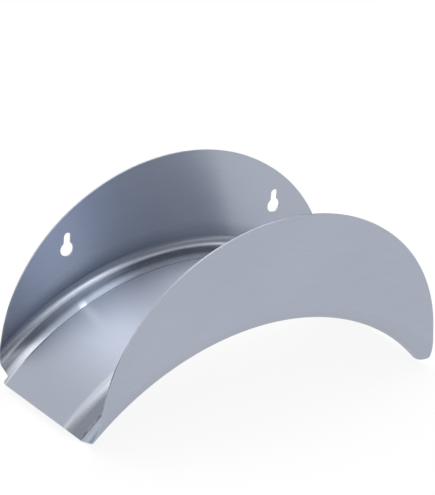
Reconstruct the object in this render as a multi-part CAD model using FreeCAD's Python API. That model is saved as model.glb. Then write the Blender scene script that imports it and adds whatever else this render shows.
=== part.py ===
"""Wall hanger for a garden hose, pressed from one sheet of steel.

X runs along the wall, +Y into the wall and +Z up. The origin lies on the wall face,
midway between the two round holes. The form is drawn round the arch's axis, a
line along Y through the centre of the saddle's curve, and moved to the origin at the end.
The sheet is what lies between two channels of one form: the space over the saddle and
between the plates, and the same space grown by the thickness of the sheet.
"""
import FreeCAD, Part
import os
from math import acos, asin, atan2, cos, degrees, pi, radians, sin, sqrt, tan

V = FreeCAD.Vector

# Sheet
SHEET = 1.0                    # thickness of the steel

# Saddle, the arch that carries the hose
ARCH_RADIUS = 177.0            # radius of its upper surface
OVERALL_WIDTH = 260.0          # across the two straight end edges
END_CORNER_RADIUS = 2.5        # at the back of both end edges

# Back plate, flat against the wall
BACK_HEIGHT = 67.0             # top of the plate above the arch's crown
BACK_CREASE = 16.2             # wall to the crease where the saddle turns up
BACK_RISE_ANGLE = 12.0         # slope from the crease up into the bend, in degrees
BACK_RUN = 11.0                # length of that slope before the bend
BACK_END = 14.5                # wall to the back corners of the straight end edges

# Front plate, which leans out at the top
FRONT_DISTANCE = 118.2         # wall to the plate's outer face, at the height of the arch's crown
FRONT_LEAN = 3.2               # lean from vertical, in degrees
FRONT_BEND_RADIUS = 14.0       # inside radius of the bend up to the plate
GROOVE_WIDTH = 27.4            # the plate's outer face to the ridge where the saddle steps down
STEP_DROP = 5.4                # fall of that step
STEP_RUN = 9.0                 # its length, before its two corners are rounded
RIDGE_RADIUS = 9.0             # rounding of the ridge, on top
FOOT_RADIUS = 4.0              # rounding of the step's foot, on top
FRONT_HEIGHT = 68.3            # top of the plate above the arch's crown
FRONT_SIDE_FOOT = 1.5          # height above the groove at which its sides meet its end edges
FRONT_CORNER_RADIUS = 2.0      # where they meet
END_TURN = 12.0                # turn of the end edges inwards from the step's foot, in degrees

# Outline of both plates seen from the front: an oval on two straight sides
PLATE_INSET = 5.9              # from the end edges to the oval's sides
PLATE_ROUNDNESS = 0.906        # height of the oval as a share of its width
BACK_INSET = 3.6               # from the end edges to the foot of the back plate's sides

# Keyholes for two screws
KEYHOLE_SPACING = 157.0        # between the two holes
KEYHOLE_DEPTH = 49.8           # from the top of the back plate down to the round holes' centres
KEYHOLE_DIAMETER = 9.4         # round hole that passes a screw's head
SLOT_WIDTH = 5.0               # slot above it that the screw's shank sits in
SLOT_RISE = 8.5                # from the round hole's centre to the shank's seat

# Extent of the form before it is cut to its outlines, well outside all of them
REACH = 300.0
SPARE_SWEEP = 7.8              # degrees of arch beyond each end edge

END_ANGLE = asin(OVERALL_WIDTH / 2 / ARCH_RADIUS)
SWEEP = 2 * degrees(END_ANGLE) + 2 * SPARE_SWEEP
PLATE_HALF_WIDTH = OVERALL_WIDTH / 2 - PLATE_INSET
PLATE_HALF_HEIGHT = PLATE_HALF_WIDTH * PLATE_ROUNDNESS
KEYHOLE_HEIGHT = ARCH_RADIUS + BACK_HEIGHT - KEYHOLE_DEPTH
SEAT_HEIGHT = KEYHOLE_HEIGHT + SLOT_RISE
FRONT_AT_AXIS = FRONT_DISTANCE - ARCH_RADIUS * tan(radians(FRONT_LEAN))


def leaned(solid):
    """A solid made square to the wall, turned about the groove's middle to the plate's lean."""
    solid.rotate(V(0, GROOVE_WIDTH / 2 - FRONT_AT_AXIS, 0), V(1, 0, 0), FRONT_LEAN)
    return solid


def behind(y):
    """A large block that lies behind a depth, leaned with the front plate."""
    size = 4 * REACH
    return leaned(Part.makeBox(size, size, size, V(-size / 2, y, -size / 2)))


def rounded_polygon(corners):
    """A face of the YZ plane, from its corners as y, z and the radius that rounds each."""
    points = [V(0, y, z) for y, z, radius in corners]
    edges = []
    ends = []
    for i, (y, z, radius) in enumerate(corners):
        corner = points[i]
        if not radius:
            ends.append((corner, corner))
            continue
        before = (points[i - 1] - corner).normalize()
        after = (points[(i + 1) % len(points)] - corner).normalize()
        half = before.getAngle(after) / 2
        start = corner + before * (radius / tan(half))
        stop = corner + after * (radius / tan(half))
        middle = corner + (before + after).normalize() * (radius / sin(half) - radius)
        edges.append(Part.Arc(start, middle, stop).toShape())
        ends.append((start, stop))
    for i, (start, stop) in enumerate(ends):
        edges.append(Part.makeLine(ends[i - 1][1], start))
    return Part.Face(Part.Wire(Part.__sortEdges__(edges)))


def swept(corners, grow):
    """The rounded polygon swept round the arch's axis."""
    face = rounded_polygon(corners)
    sweep = SWEEP - grow
    face.rotate(V(), V(0, 1, 0), -sweep / 2)
    return face.revolve(V(), V(0, 1, 0), sweep)


def is_ridge(edge, floor):
    """Whether an edge of the channel is the long one where the saddle meets the step."""
    is_long = edge.BoundBox.XLength > ARCH_RADIUS
    is_in_front = edge.BoundBox.YMax < -FRONT_DISTANCE / 2
    points = edge.discretize(5)
    return is_long and is_in_front and all(abs(V(p.x, 0, p.z).Length - floor) < 1e-3 for p in points)


def channel(grow):
    """The space over the saddle and between the plates, grown outwards by a distance."""
    rise = radians(BACK_RISE_ANGLE)
    step = atan2(STEP_DROP, STEP_RUN)
    floor = ARCH_RADIUS - grow
    outer = REACH - grow
    back = grow - SHEET
    crease = -BACK_CREASE + grow * tan(rise / 2)
    bend = ((BACK_CREASE - SHEET) / cos(rise) - BACK_RUN) * tan(pi / 4 + rise / 2)
    front = SHEET - grow - FRONT_AT_AXIS
    ridge = GROOVE_WIDTH - FRONT_AT_AXIS + grow * tan(step / 2)
    saddle = swept([
        (back, outer, 0),
        (back, floor + (back - crease) * tan(rise), bend + grow),
        (crease, floor, 0),
        (-REACH, floor, 0),
        (-REACH, outer, 0),
    ], grow)
    groove = swept([
        (ridge + STEP_RUN, outer, 0),
        (ridge + STEP_RUN, floor + STEP_DROP, 0),
        (ridge - STEP_RUN, floor - STEP_DROP, FOOT_RADIUS + grow),
        (front, floor - STEP_DROP, FRONT_BEND_RADIUS + grow),
        (front, outer, 0),
    ], grow)
    solid = saddle.common(behind(ridge - STEP_RUN)).fuse(leaned(groove)).removeSplitter()
    return solid.makeFillet(RIDGE_RADIUS - grow, [e for e in solid.Edges if is_ridge(e, floor)])


def slab(face, front, back):
    """A face of the XZ plane made into a solid between two depths."""
    solid = face.extrude(V(0, back - front, 0))
    solid.translate(V(0, front, 0))
    return solid


def sector():
    """What lies above the arch's axis between the two straight end edges."""
    left = V(-sin(END_ANGLE), 0, cos(END_ANGLE))
    right = V(sin(END_ANGLE), 0, cos(END_ANGLE))
    near = ARCH_RADIUS / 2
    far = 2 * REACH
    corners = [left * near, left * far, right * far, right * near]
    return Part.Face(Part.makePolygon(corners + corners[:1]))


def outline(height, foot_x, foot_z):
    """A plate's outline up to a height over the crown, its sides running from the oval to a foot."""
    centre = ARCH_RADIUS + height - PLATE_HALF_HEIGHT
    x = foot_x / PLATE_HALF_WIDTH
    z = (foot_z - centre) / PLATE_HALF_HEIGHT
    angle = atan2(z, x) + acos(1 / sqrt(x * x + z * z))
    oval = Part.Ellipse(V(), PLATE_HALF_WIDTH, PLATE_HALF_HEIGHT).toShape(angle, pi - angle)
    oval.rotate(V(), V(1, 0, 0), 90)
    oval.translate(V(0, 0, centre))
    right, left = (vertex.Point for vertex in oval.Vertexes)
    foot = V(foot_x, 0, foot_z)
    sides = Part.makePolygon([left, V(-foot_x, 0, foot_z), V(), foot, right])
    return Part.Face(Part.Wire(oval.Edges + sides.Edges)).common(sector()).Faces[0]


def foot_depth():
    """The depth of the step's foot at the end edges."""
    foot = leaned(Part.Vertex(0, GROOVE_WIDTH - STEP_RUN - FRONT_AT_AXIS, ARCH_RADIUS * cos(END_ANGLE)))
    return foot.Point.y


def end_blocks():
    """What is cut off beyond the turned part of each end edge."""
    size = 4 * REACH
    block = Part.makeBox(size, size, size, V(0, -size / 2, -size / 2))
    block.rotate(V(), V(0, 0, 1), -END_TURN)
    block.translate(V(0, foot_depth(), 0))
    block.rotate(V(), V(0, 1, 0), degrees(END_ANGLE))
    return [block, block.mirror(V(), V(1, 0, 0))]


def saddle_zone():
    """Where the sheet reaches to its straight end edges."""
    zone = slab(sector(), foot_depth(), -BACK_END)
    corners = []
    for edge in zone.Edges:
        a, b = (vertex.Point for vertex in edge.Vertexes)
        if abs(a.y + BACK_END) < 1e-4 and abs(b.y + BACK_END) < 1e-4 and abs(a.z - b.z) > 1e-4:
            corners.append(edge)
    return zone.makeFillet(END_CORNER_RADIUS, corners)


def back_zone():
    """Where the sheet ends at the back plate's outline."""
    end = ARCH_RADIUS * cos(END_ANGLE)
    face = outline(BACK_HEIGHT, OVERALL_WIDTH / 2 - BACK_INSET, end)
    return slab(face, -BACK_END, SHEET)


def front_zone():
    """Where the sheet ends at the front plate's outline with its rounded lower corners."""
    foot = ARCH_RADIUS - STEP_DROP + FRONT_SIDE_FOOT
    face = outline(FRONT_HEIGHT, foot * sin(END_ANGLE), foot * cos(END_ANGLE))
    zone = slab(face, -REACH, foot_depth()).cut(end_blocks())
    corners = []
    for edge in zone.Edges:
        a, b = (vertex.Point for vertex in edge.Vertexes)
        is_oblique = min(abs(a.x - b.x), abs(a.y - b.y), abs(a.z - b.z)) > 1e-4
        if is_oblique and max(abs(a.x), abs(b.x)) > PLATE_HALF_WIDTH:
            corners.append(edge)
    return zone.makeFillet(FRONT_CORNER_RADIUS, corners)


def keyhole(x):
    """A round hole with a slot above it, right through the back plate."""
    start = -2 * SHEET
    depth = 4 * SHEET
    along = V(0, 1, 0)
    hole = Part.makeCylinder(KEYHOLE_DIAMETER / 2, depth, V(x, start, KEYHOLE_HEIGHT), along)
    seat = Part.makeCylinder(SLOT_WIDTH / 2, depth, V(x, start, SEAT_HEIGHT), along)
    slot = Part.makeBox(SLOT_WIDTH, depth, SLOT_RISE, V(x - SLOT_WIDTH / 2, start, KEYHOLE_HEIGHT))
    return hole.fuse([slot, seat])


def hanger():
    """The whole hanger, its origin midway between the round holes."""
    form = channel(SHEET).cut(channel(0))
    sheet = form.common(saddle_zone().fuse([back_zone(), front_zone()]).removeSplitter())
    for side in (-1, 1):
        sheet = sheet.cut(keyhole(side * KEYHOLE_SPACING / 2))
    sheet = sheet.removeSplitter()
    sheet.translate(V(0, 0, -KEYHOLE_HEIGHT))
    return sheet.Solids[0]


os.makedirs("parts", exist_ok=True)
hanger().exportStep("parts/hanger.step")
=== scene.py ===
"""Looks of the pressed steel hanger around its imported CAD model: steel, light, floor and camera."""
import math

import bpy
from mathutils import Matrix, Vector


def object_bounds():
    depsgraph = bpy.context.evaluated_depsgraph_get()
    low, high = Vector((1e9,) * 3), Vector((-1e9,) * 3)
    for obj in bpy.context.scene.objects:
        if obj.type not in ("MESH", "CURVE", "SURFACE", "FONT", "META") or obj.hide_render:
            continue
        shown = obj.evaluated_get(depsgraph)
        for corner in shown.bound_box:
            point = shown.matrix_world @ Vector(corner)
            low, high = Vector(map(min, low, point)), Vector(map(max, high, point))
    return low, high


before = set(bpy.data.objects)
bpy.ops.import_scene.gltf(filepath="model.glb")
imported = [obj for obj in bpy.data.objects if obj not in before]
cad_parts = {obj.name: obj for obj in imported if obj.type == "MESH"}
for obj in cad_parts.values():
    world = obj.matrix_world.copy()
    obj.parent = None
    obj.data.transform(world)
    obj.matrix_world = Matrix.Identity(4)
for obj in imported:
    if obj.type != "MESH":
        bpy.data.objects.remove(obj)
cad_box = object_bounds()

# Camera in the part's own frame: its place and clipping in metres, its angles in radians, the
# focal length and the image's height in pixels, and the sensor's height in millimetres
CAMERA_PLACE = Vector((-1.035910, -1.463757, 0.745262))
CAMERA_YAW = 0.632422
CAMERA_PITCH = 0.399903
CAMERA_ROLL = 0.061113
CAMERA_NEAR = 0.05
CAMERA_FAR = 50.0
FOCAL_PIXELS = 3085.2855
IMAGE_HEIGHT = 495.0
SENSOR_HEIGHT = 36.0

# World light: its level, and soft lobes, each with the azimuth and elevation that it comes from in
# degrees, its sharpness and its strength
WORLD_LEVEL = 0.15
LOBES = [
    (0.0, 74.0, 18.0, 1.6),
    (60.0, 58.0, 60.0, 4.2),
    (-60.0, 58.0, 60.0, 0.9),
    (-12.0, 63.0, 60.0, 1.6),
    (-30.0, 35.0, 60.0, 0.65),
    (-30.0, 12.0, 60.0, 2.0),
    (90.0, 35.0, 60.0, 2.0),
    (-105.0, 42.0, 40.0, 0.35),
    (180.0, 30.0, 60.0, 0.5),
    (174.0, 62.0, 150.0, 3.3),
    (150.0, 12.0, 60.0, 1.1),
    (-158.0, 59.0, 150.0, 1.7),
]

# Floor: half of its side, its gap under the hanger, and its grey
FLOOR_HALF_SIDE = 6.0
FLOOR_GAP = 0.0002
FLOOR_GREY = (0.80, 0.80, 0.80, 1.0)

# The camera sees the floor mostly as plain white, and for the rest as the grey that takes shadow
FLOOR_WHITE = 1.06
FLOOR_WHITE_SHARE = 0.85

# How bright the floor is to the steel in front of the wall face and behind it, and how far from
# the wall face the change from one to the other reaches
FLOOR_IN_FRONT = 0.745
FLOOR_BEHIND = 0.40
FLOOR_FADE = 0.15

# The arch's axis runs along Y, this far below the origin
ARCH_DROP = 0.1942

# Anisotropy of the sheet, and the quarter turn that blurs reflections across its grain
GRAIN_STRENGTH = 0.97
GRAIN_TURN = 0.25

# Noise patterns: scale, detail, roughness and stretch. The three axes of the streaks are the angle
# round the arch, the depth and the radius. The spans are the noise's usual low and high values.
EVEN = (1.0, 1.0, 1.0)
BLOTCHES = (14.0, 4.0, 0.55, EVEN)
GRAIN = (60.0, 3.0, 0.6, (0.5, 24.0, 24.0))
SPECKLE = (2400.0, 2.0, 0.6, EVEN)
STREAKS = (1.0, 3.0, 0.6, (3.0, 900.0, 900.0))
NOISE_SPAN = (0.30, 0.70)
STREAK_SPAN = (0.35, 0.65)

# The zones of the sheet fade in and out over these spans, in metres. A depth is a Y, which is 0 at
# the wall face and falls towards the front, and a radius is a distance from the arch's axis.
# Drawn metal: the ledge, the bend and the foot of the back plate, and weakly the front's step
DRAWN_LEDGE_DEPTHS = (-0.0180, -0.0162)
DRAWN_BEND_DEPTHS = (-0.0090, -0.0030)
DRAWN_BEND_SHARE = 0.35
DRAWN_FOOT_RADII = (0.187, 0.200)
DRAWN_STEP_DEPTHS = (-0.0860, -0.0800)
DRAWN_STEP_RADII = (0.1745, 0.1800)
DRAWN_STEP_SHARE = 0.18

# Painted shade: the colour is darkened on the upper part of the ledge, and in the hollow of the bend
# with the plate's foot
SHADE_LEDGE_START_DEPTHS = (-0.0140, -0.0090)
SHADE_LEDGE_END_DEPTHS = (-0.0065, -0.0040)
SHADE_BEND_DEPTHS = (-0.0120, -0.0060)
SHADE_BEND_RADII = (0.1800, 0.1845)
SHADE_FOOT_RADII = (0.1845, 0.1970)
SHADE_BEND_SHARE = 0.80

# Painted highlight: a strip behind the crease is mixed towards near-white, and less so the slope
# between the ridge and the step
CREASE_START_DEPTHS = (-0.0172, -0.0160)
CREASE_END_DEPTHS = (-0.0145, -0.0100)
RIDGE_START_DEPTHS = (-0.0905, -0.0870)
RIDGE_END_DEPTHS = (-0.0845, -0.0815)
RIDGE_RADII = (0.1765, 0.1800)
RIDGE_SHARE = 0.70
PAINTED_HIGHLIGHT_SHARE = 0.95

# Cut edges: how far the wear reaches from an edge, and the cosines of the turn of the rounded
# surface between which it fades
EDGE_RADIUS = 0.0006
EDGE_SAMPLES = 6
EDGE_COSINES = (0.80, 0.99)
EDGE_SHARE = 0.95

# Colours: the two ends of the blotches, and the near-white of the painted highlights and the worn cut
# edges
TINT_DARK = (0.546, 0.594, 0.702, 1.0)
TINT_LIGHT = (0.584, 0.631, 0.736, 1.0)
TINT_WORN_AND_HIGHLIGHT = (0.85, 0.90, 0.98, 1.0)

# How much the painted shade, streaks, grain and speckle change the colour
PAINTED_SHADE_TONE = -0.38
STREAK_TONE = 0.20
GRAIN_TONE = 0.05
SPECKLE_TONE = 0.03

# Roughness of the satin sheet and of drawn metal. The satin stays above 0.274, because the
# denoiser draws contour lines on metal that is glossier than that and only a little uneven.
SATIN_ROUGHNESS = (0.278, 0.298)
DRAWN_ROUGHNESS = (0.13, 0.18)

# Bumps: their strength, and their height in metres
GRAIN_BUMP = (0.20, 0.00004)
SPECKLE_BUMP = (0.08, 0.00002)
STREAK_BUMP = (0.35, 0.00005)

# Places of the sockets of a colour mix, which shares its sockets' names with other mixes
MIX_FACTOR, MIX_FIRST, MIX_SECOND, MIX_RESULT = 0, 6, 7, 2


class Graph:
    """Short forms for building a node tree."""

    def __init__(self, tree):
        self.tree = tree

    def node(self, kind, sockets=None, **settings):
        """A new node with these settings, and a value or a link for each socket given."""
        node = self.tree.nodes.new(kind)
        for name, value in settings.items():
            setattr(node, name, value)
        for name, value in (sockets or {}).items():
            self.feed(value, node.inputs[name])
        return node

    def feed(self, value, socket):
        """Link an output to a socket, or set the socket's own value."""
        if isinstance(value, bpy.types.NodeSocket):
            self.tree.links.new(value, socket)
        else:
            socket.default_value = value

    def calculate(self, operation, *values, **settings):
        sockets = dict(enumerate(values))
        return self.node("ShaderNodeMath", sockets, operation=operation, **settings).outputs[0]

    def product(self, first, *others):
        for other in others:
            first = self.calculate("MULTIPLY", first, other)
        return first

    def dot(self, first, second):
        node = self.node("ShaderNodeVectorMath", {0: first, 1: second}, operation="DOT_PRODUCT")
        return node.outputs["Value"]

    def span(self, value, ends, start, stop, kind="LINEAR"):
        """Go from start to stop while a value goes from one end of a span to the other."""
        sockets = {"Value": value, "From Min": ends[0], "From Max": ends[1],
                   "To Min": start, "To Max": stop}
        return self.node("ShaderNodeMapRange", sockets, interpolation_type=kind).outputs["Result"]

    def rise(self, value, ends, top=1.0):
        return self.span(value, ends, 0.0, top, "SMOOTHSTEP")

    def fall(self, value, ends, top=1.0, bottom=0.0):
        return self.span(value, ends, top, bottom, "SMOOTHSTEP")

    def centred(self, value, ends):
        return self.span(value, ends, -0.5, 0.5)

    def noise(self, vector, scale, detail, roughness, stretch):
        mapping = self.node("ShaderNodeMapping", {"Vector": vector, "Scale": stretch})
        sockets = {"Vector": mapping.outputs["Vector"], "Scale": scale, "Detail": detail,
                   "Roughness": roughness}
        return self.node("ShaderNodeTexNoise", sockets).outputs["Fac"]

    def mix_shader(self, factor, first, second):
        return self.node("ShaderNodeMixShader", {0: factor, 1: first, 2: second}).outputs[0]


def add_camera():
    """The photograph's viewing angle."""
    data = bpy.data.cameras.new("camera")
    data.sensor_fit = "VERTICAL"
    data.sensor_height = SENSOR_HEIGHT
    data.lens = FOCAL_PIXELS * SENSOR_HEIGHT / IMAGE_HEIGHT
    data.clip_start = CAMERA_NEAR
    data.clip_end = CAMERA_FAR
    camera = bpy.data.objects.new("camera", data)
    bpy.context.scene.collection.objects.link(camera)
    sin_yaw, cos_yaw = math.sin(CAMERA_YAW), math.cos(CAMERA_YAW)
    sin_pitch, cos_pitch = math.sin(CAMERA_PITCH), math.cos(CAMERA_PITCH)
    ahead = Vector((sin_yaw * cos_pitch, cos_yaw * cos_pitch, -sin_pitch))
    right = Vector((cos_yaw, -sin_yaw, 0.0))
    up = right.cross(ahead)
    turned_right = right * math.cos(CAMERA_ROLL) + up * math.sin(CAMERA_ROLL)
    turned_up = up * math.cos(CAMERA_ROLL) - right * math.sin(CAMERA_ROLL)
    turn = Matrix((turned_right, turned_up, -ahead)).transposed().to_4x4()
    camera.matrix_world = Matrix.Translation(CAMERA_PLACE) @ turn
    bpy.context.scene.camera = camera


def towards(azimuth, elevation):
    """The direction at an azimuth from +Y towards +X and an elevation, both in degrees."""
    a, e = math.radians(azimuth), math.radians(elevation)
    return (math.sin(a) * math.cos(e), math.cos(a) * math.cos(e), math.sin(e))


def add_world():
    """A plain soft studio: a dim world with lobes of light, white to the camera."""
    world = bpy.data.worlds.new("studio")
    bpy.context.scene.world = world
    world.use_nodes = True
    world.node_tree.nodes.clear()
    graph = Graph(world.node_tree)
    direction = graph.node("ShaderNodeTexCoord").outputs["Generated"]
    strength = WORLD_LEVEL
    for azimuth, elevation, sharpness, share in LOBES:
        # From 0 straight away from the lobe's direction to 1 along it
        cosine = graph.dot(direction, towards(azimuth, elevation))
        nearness = graph.calculate("MULTIPLY_ADD", cosine, 0.5, 0.5, use_clamp=True)
        lobe = graph.calculate("POWER", nearness, sharpness)
        strength = graph.calculate("MULTIPLY_ADD", lobe, share, strength)
    light = graph.node("ShaderNodeBackground", {"Strength": strength}).outputs[0]
    white = graph.node("ShaderNodeBackground", {"Strength": 1.0}).outputs[0]
    path = graph.node("ShaderNodeLightPath").outputs
    surface = graph.mix_shader(path["Is Camera Ray"], light, white)
    graph.node("ShaderNodeOutputWorld", {"Surface": surface})


def floor_material():
    """Grey in the light, evenly bright to the steel, and white with a faint shadow to the camera."""
    material = bpy.data.materials.new("floor")
    material.use_nodes = True
    material.node_tree.nodes.clear()
    graph = Graph(material.node_tree)
    coords = graph.node("ShaderNodeTexCoord").outputs["Object"]
    depth = graph.node("ShaderNodeSeparateXYZ", {"Vector": coords}).outputs["Y"]
    level = graph.span(depth, (-FLOOR_FADE, FLOOR_FADE), FLOOR_IN_FRONT, FLOOR_BEHIND)
    grey = graph.node("ShaderNodeBsdfDiffuse", {"Color": FLOOR_GREY}).outputs[0]
    mirrored = graph.node("ShaderNodeEmission", {"Strength": level}).outputs[0]
    white = graph.node("ShaderNodeEmission", {"Strength": FLOOR_WHITE}).outputs[0]
    seen = graph.mix_shader(FLOOR_WHITE_SHARE, grey, white)
    path = graph.node("ShaderNodeLightPath").outputs
    surface = graph.mix_shader(path["Is Glossy Ray"], grey, mirrored)
    surface = graph.mix_shader(path["Is Camera Ray"], surface, seen)
    graph.node("ShaderNodeOutputMaterial", {"Surface": surface})
    return material


def add_floor():
    """A pale floor just under the hanger."""
    side, height = FLOOR_HALF_SIDE, cad_box[0][2] - FLOOR_GAP
    corners = [(x, y, height) for x, y in ((-side, -side), (side, -side), (side, side),
                                           (-side, side))]
    mesh = bpy.data.meshes.new("floor")
    mesh.from_pydata(corners, [], [(0, 1, 2, 3)])
    mesh.materials.append(floor_material())
    floor = bpy.data.objects.new("floor", mesh)
    bpy.context.scene.collection.objects.link(floor)


def drawn_zone(graph, depth, radius):
    """Where the steel was drawn, which left it polished and streaked."""
    behind = graph.product(graph.rise(depth, DRAWN_LEDGE_DEPTHS),
                           graph.fall(depth, DRAWN_BEND_DEPTHS, bottom=DRAWN_BEND_SHARE),
                           graph.fall(radius, DRAWN_FOOT_RADII))
    ahead = graph.product(graph.fall(depth, DRAWN_STEP_DEPTHS, DRAWN_STEP_SHARE),
                          graph.fall(radius, DRAWN_STEP_RADII))
    return graph.calculate("MAXIMUM", behind, ahead)


def painted_shade_zone(graph, depth, radius):
    """Painted shade: where the colour is darkened, on the upper ledge, the bend and the plate's foot.
    """
    ledge = graph.product(graph.rise(depth, SHADE_LEDGE_START_DEPTHS),
                          graph.fall(depth, SHADE_LEDGE_END_DEPTHS))
    bend = graph.product(graph.rise(radius, SHADE_BEND_RADII, SHADE_BEND_SHARE),
                         graph.fall(radius, SHADE_FOOT_RADII),
                         graph.rise(depth, SHADE_BEND_DEPTHS))
    return graph.calculate("MAXIMUM", ledge, bend)


def worn_and_highlight_zone(graph, depth, radius):
    """Painted highlight on the crease and the ridge, and bright wear on the cut edges."""
    crease = graph.product(graph.rise(depth, CREASE_START_DEPTHS),
                           graph.fall(depth, CREASE_END_DEPTHS))
    ridge = graph.product(graph.rise(depth, RIDGE_START_DEPTHS),
                          graph.fall(depth, RIDGE_END_DEPTHS, RIDGE_SHARE),
                          graph.fall(radius, RIDGE_RADII))
    # Painted highlight: the crease's strip and the ridge's slope are mixed towards near-white
    painted_highlight = graph.product(graph.calculate("MAXIMUM", crease, ridge), PAINTED_HIGHLIGHT_SHARE)
    rounded = graph.node("ShaderNodeBevel", {"Radius": EDGE_RADIUS}, samples=EDGE_SAMPLES)
    surface = graph.node("ShaderNodeNewGeometry")
    cosine = graph.dot(rounded.outputs["Normal"], surface.outputs["Normal"])
    edges = graph.product(graph.fall(cosine, EDGE_COSINES), EDGE_SHARE)
    return graph.calculate("MAXIMUM", painted_highlight, edges)


def steel_colour(graph, patterns, drawn, painted_shade, worn_and_highlight):
    """Blotches, then painted shade and lighter or darker by pattern, then the painted highlights and
    the wear.
    """
    tint = graph.node("ShaderNodeValToRGB", {"Fac": patterns["blotches"]})
    ramp = tint.color_ramp.elements
    for stop, position, colour in zip(ramp, NOISE_SPAN, (TINT_DARK, TINT_LIGHT)):
        stop.position, stop.color = position, colour
    lines = graph.product(drawn, graph.centred(patterns["streaks"], STREAK_SPAN))
    grain = graph.centred(patterns["grain"], NOISE_SPAN)
    speckle = graph.centred(patterns["speckle"], NOISE_SPAN)
    tone = 1.0
    # The first change is painted shade, which darkens the colour in the bend's hollow and on the
    # upper ledge
    for change, share in ((painted_shade, PAINTED_SHADE_TONE), (lines, STREAK_TONE), (grain, GRAIN_TONE),
                          (speckle, SPECKLE_TONE)):
        tone = graph.calculate("MULTIPLY_ADD", change, share, tone)
    toned = graph.node("ShaderNodeVectorMath", {0: tint.outputs["Color"], "Scale": tone},
                       operation="SCALE")
    # Mixes towards near-white: painted highlight at the crease and the ridge, and wear at the cut
    # edges
    sockets = {MIX_FACTOR: worn_and_highlight, MIX_FIRST: toned.outputs[0], MIX_SECOND: TINT_WORN_AND_HIGHLIGHT}
    return graph.node("ShaderNodeMix", sockets, data_type="RGBA").outputs[MIX_RESULT]


def steel_roughness(graph, patterns, drawn):
    """Satin by the blotches, and glossier by the streaks where the steel was drawn."""
    satin = graph.span(patterns["blotches"], NOISE_SPAN, *SATIN_ROUGHNESS)
    polish = graph.span(patterns["streaks"], NOISE_SPAN, *DRAWN_ROUGHNESS)
    mix = graph.node("ShaderNodeMix", {"Factor": drawn, "A": satin, "B": polish})
    return mix.outputs["Result"]


def steel_normal(graph, patterns, drawn):
    """Grain and speckle all over, and streaks where the steel was drawn."""
    streak_strength, streak_height = STREAK_BUMP
    bumps = ((patterns["grain"], *GRAIN_BUMP), (patterns["speckle"], *SPECKLE_BUMP),
             (patterns["streaks"], graph.product(drawn, streak_strength), streak_height))
    normal = None
    for pattern, strength, height in bumps:
        bump = graph.node("ShaderNodeBump", {"Height": pattern, "Strength": strength,
                                             "Distance": height})
        if normal:
            graph.feed(normal, bump.inputs["Normal"])
        normal = bump.outputs["Normal"]
    return normal


def steel_material():
    """Satin rolled steel: a grain along X, polished streaks where it was drawn, painted shade in the
    bend, painted highlights at the crease and ridge, and wear.
    """
    material = bpy.data.materials.new("steel")
    material.use_nodes = True
    graph = Graph(material.node_tree)

    # Places round the arch: depth, distance from its axis and angle
    coords = graph.node("ShaderNodeTexCoord").outputs["Object"]
    place = graph.node("ShaderNodeSeparateXYZ", {"Vector": coords}).outputs
    across, depth = place["X"], place["Y"]
    height = graph.calculate("ADD", place["Z"], ARCH_DROP)
    squares = [graph.calculate("POWER", side, 2.0) for side in (across, height)]
    radius = graph.calculate("SQRT", graph.calculate("ADD", *squares))
    angle = graph.calculate("ARCTAN2", across, height)
    round_arch = graph.node("ShaderNodeCombineXYZ", {"X": angle, "Y": depth, "Z": radius})

    patterns = {
        "blotches": graph.noise(coords, *BLOTCHES),
        "grain": graph.noise(coords, *GRAIN),
        "speckle": graph.noise(coords, *SPECKLE),
        "streaks": graph.noise(round_arch.outputs["Vector"], *STREAKS),
    }
    drawn, painted_shade, worn_and_highlight = (zone(graph, depth, radius) for zone in (drawn_zone, painted_shade_zone, worn_and_highlight_zone))
    along = graph.node("ShaderNodeCombineXYZ", {"X": 1.0})

    shader = material.node_tree.nodes["Principled BSDF"]
    for name, value in (
        ("Base Color", steel_colour(graph, patterns, drawn, painted_shade, worn_and_highlight)),
        ("Metallic", 1.0),
        ("Roughness", steel_roughness(graph, patterns, drawn)),
        ("Normal", steel_normal(graph, patterns, drawn)),
        ("Anisotropic", GRAIN_STRENGTH),
        ("Anisotropic Rotation", GRAIN_TURN),
        ("Tangent", along.outputs["Vector"]),
    ):
        graph.feed(value, shader.inputs[name])
    return material


steel = steel_material()
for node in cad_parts.values():
    for slot in node.material_slots:
        slot.material = steel

add_camera()
add_world()
add_floor()

bpy.context.scene.view_settings.view_transform = "Standard"
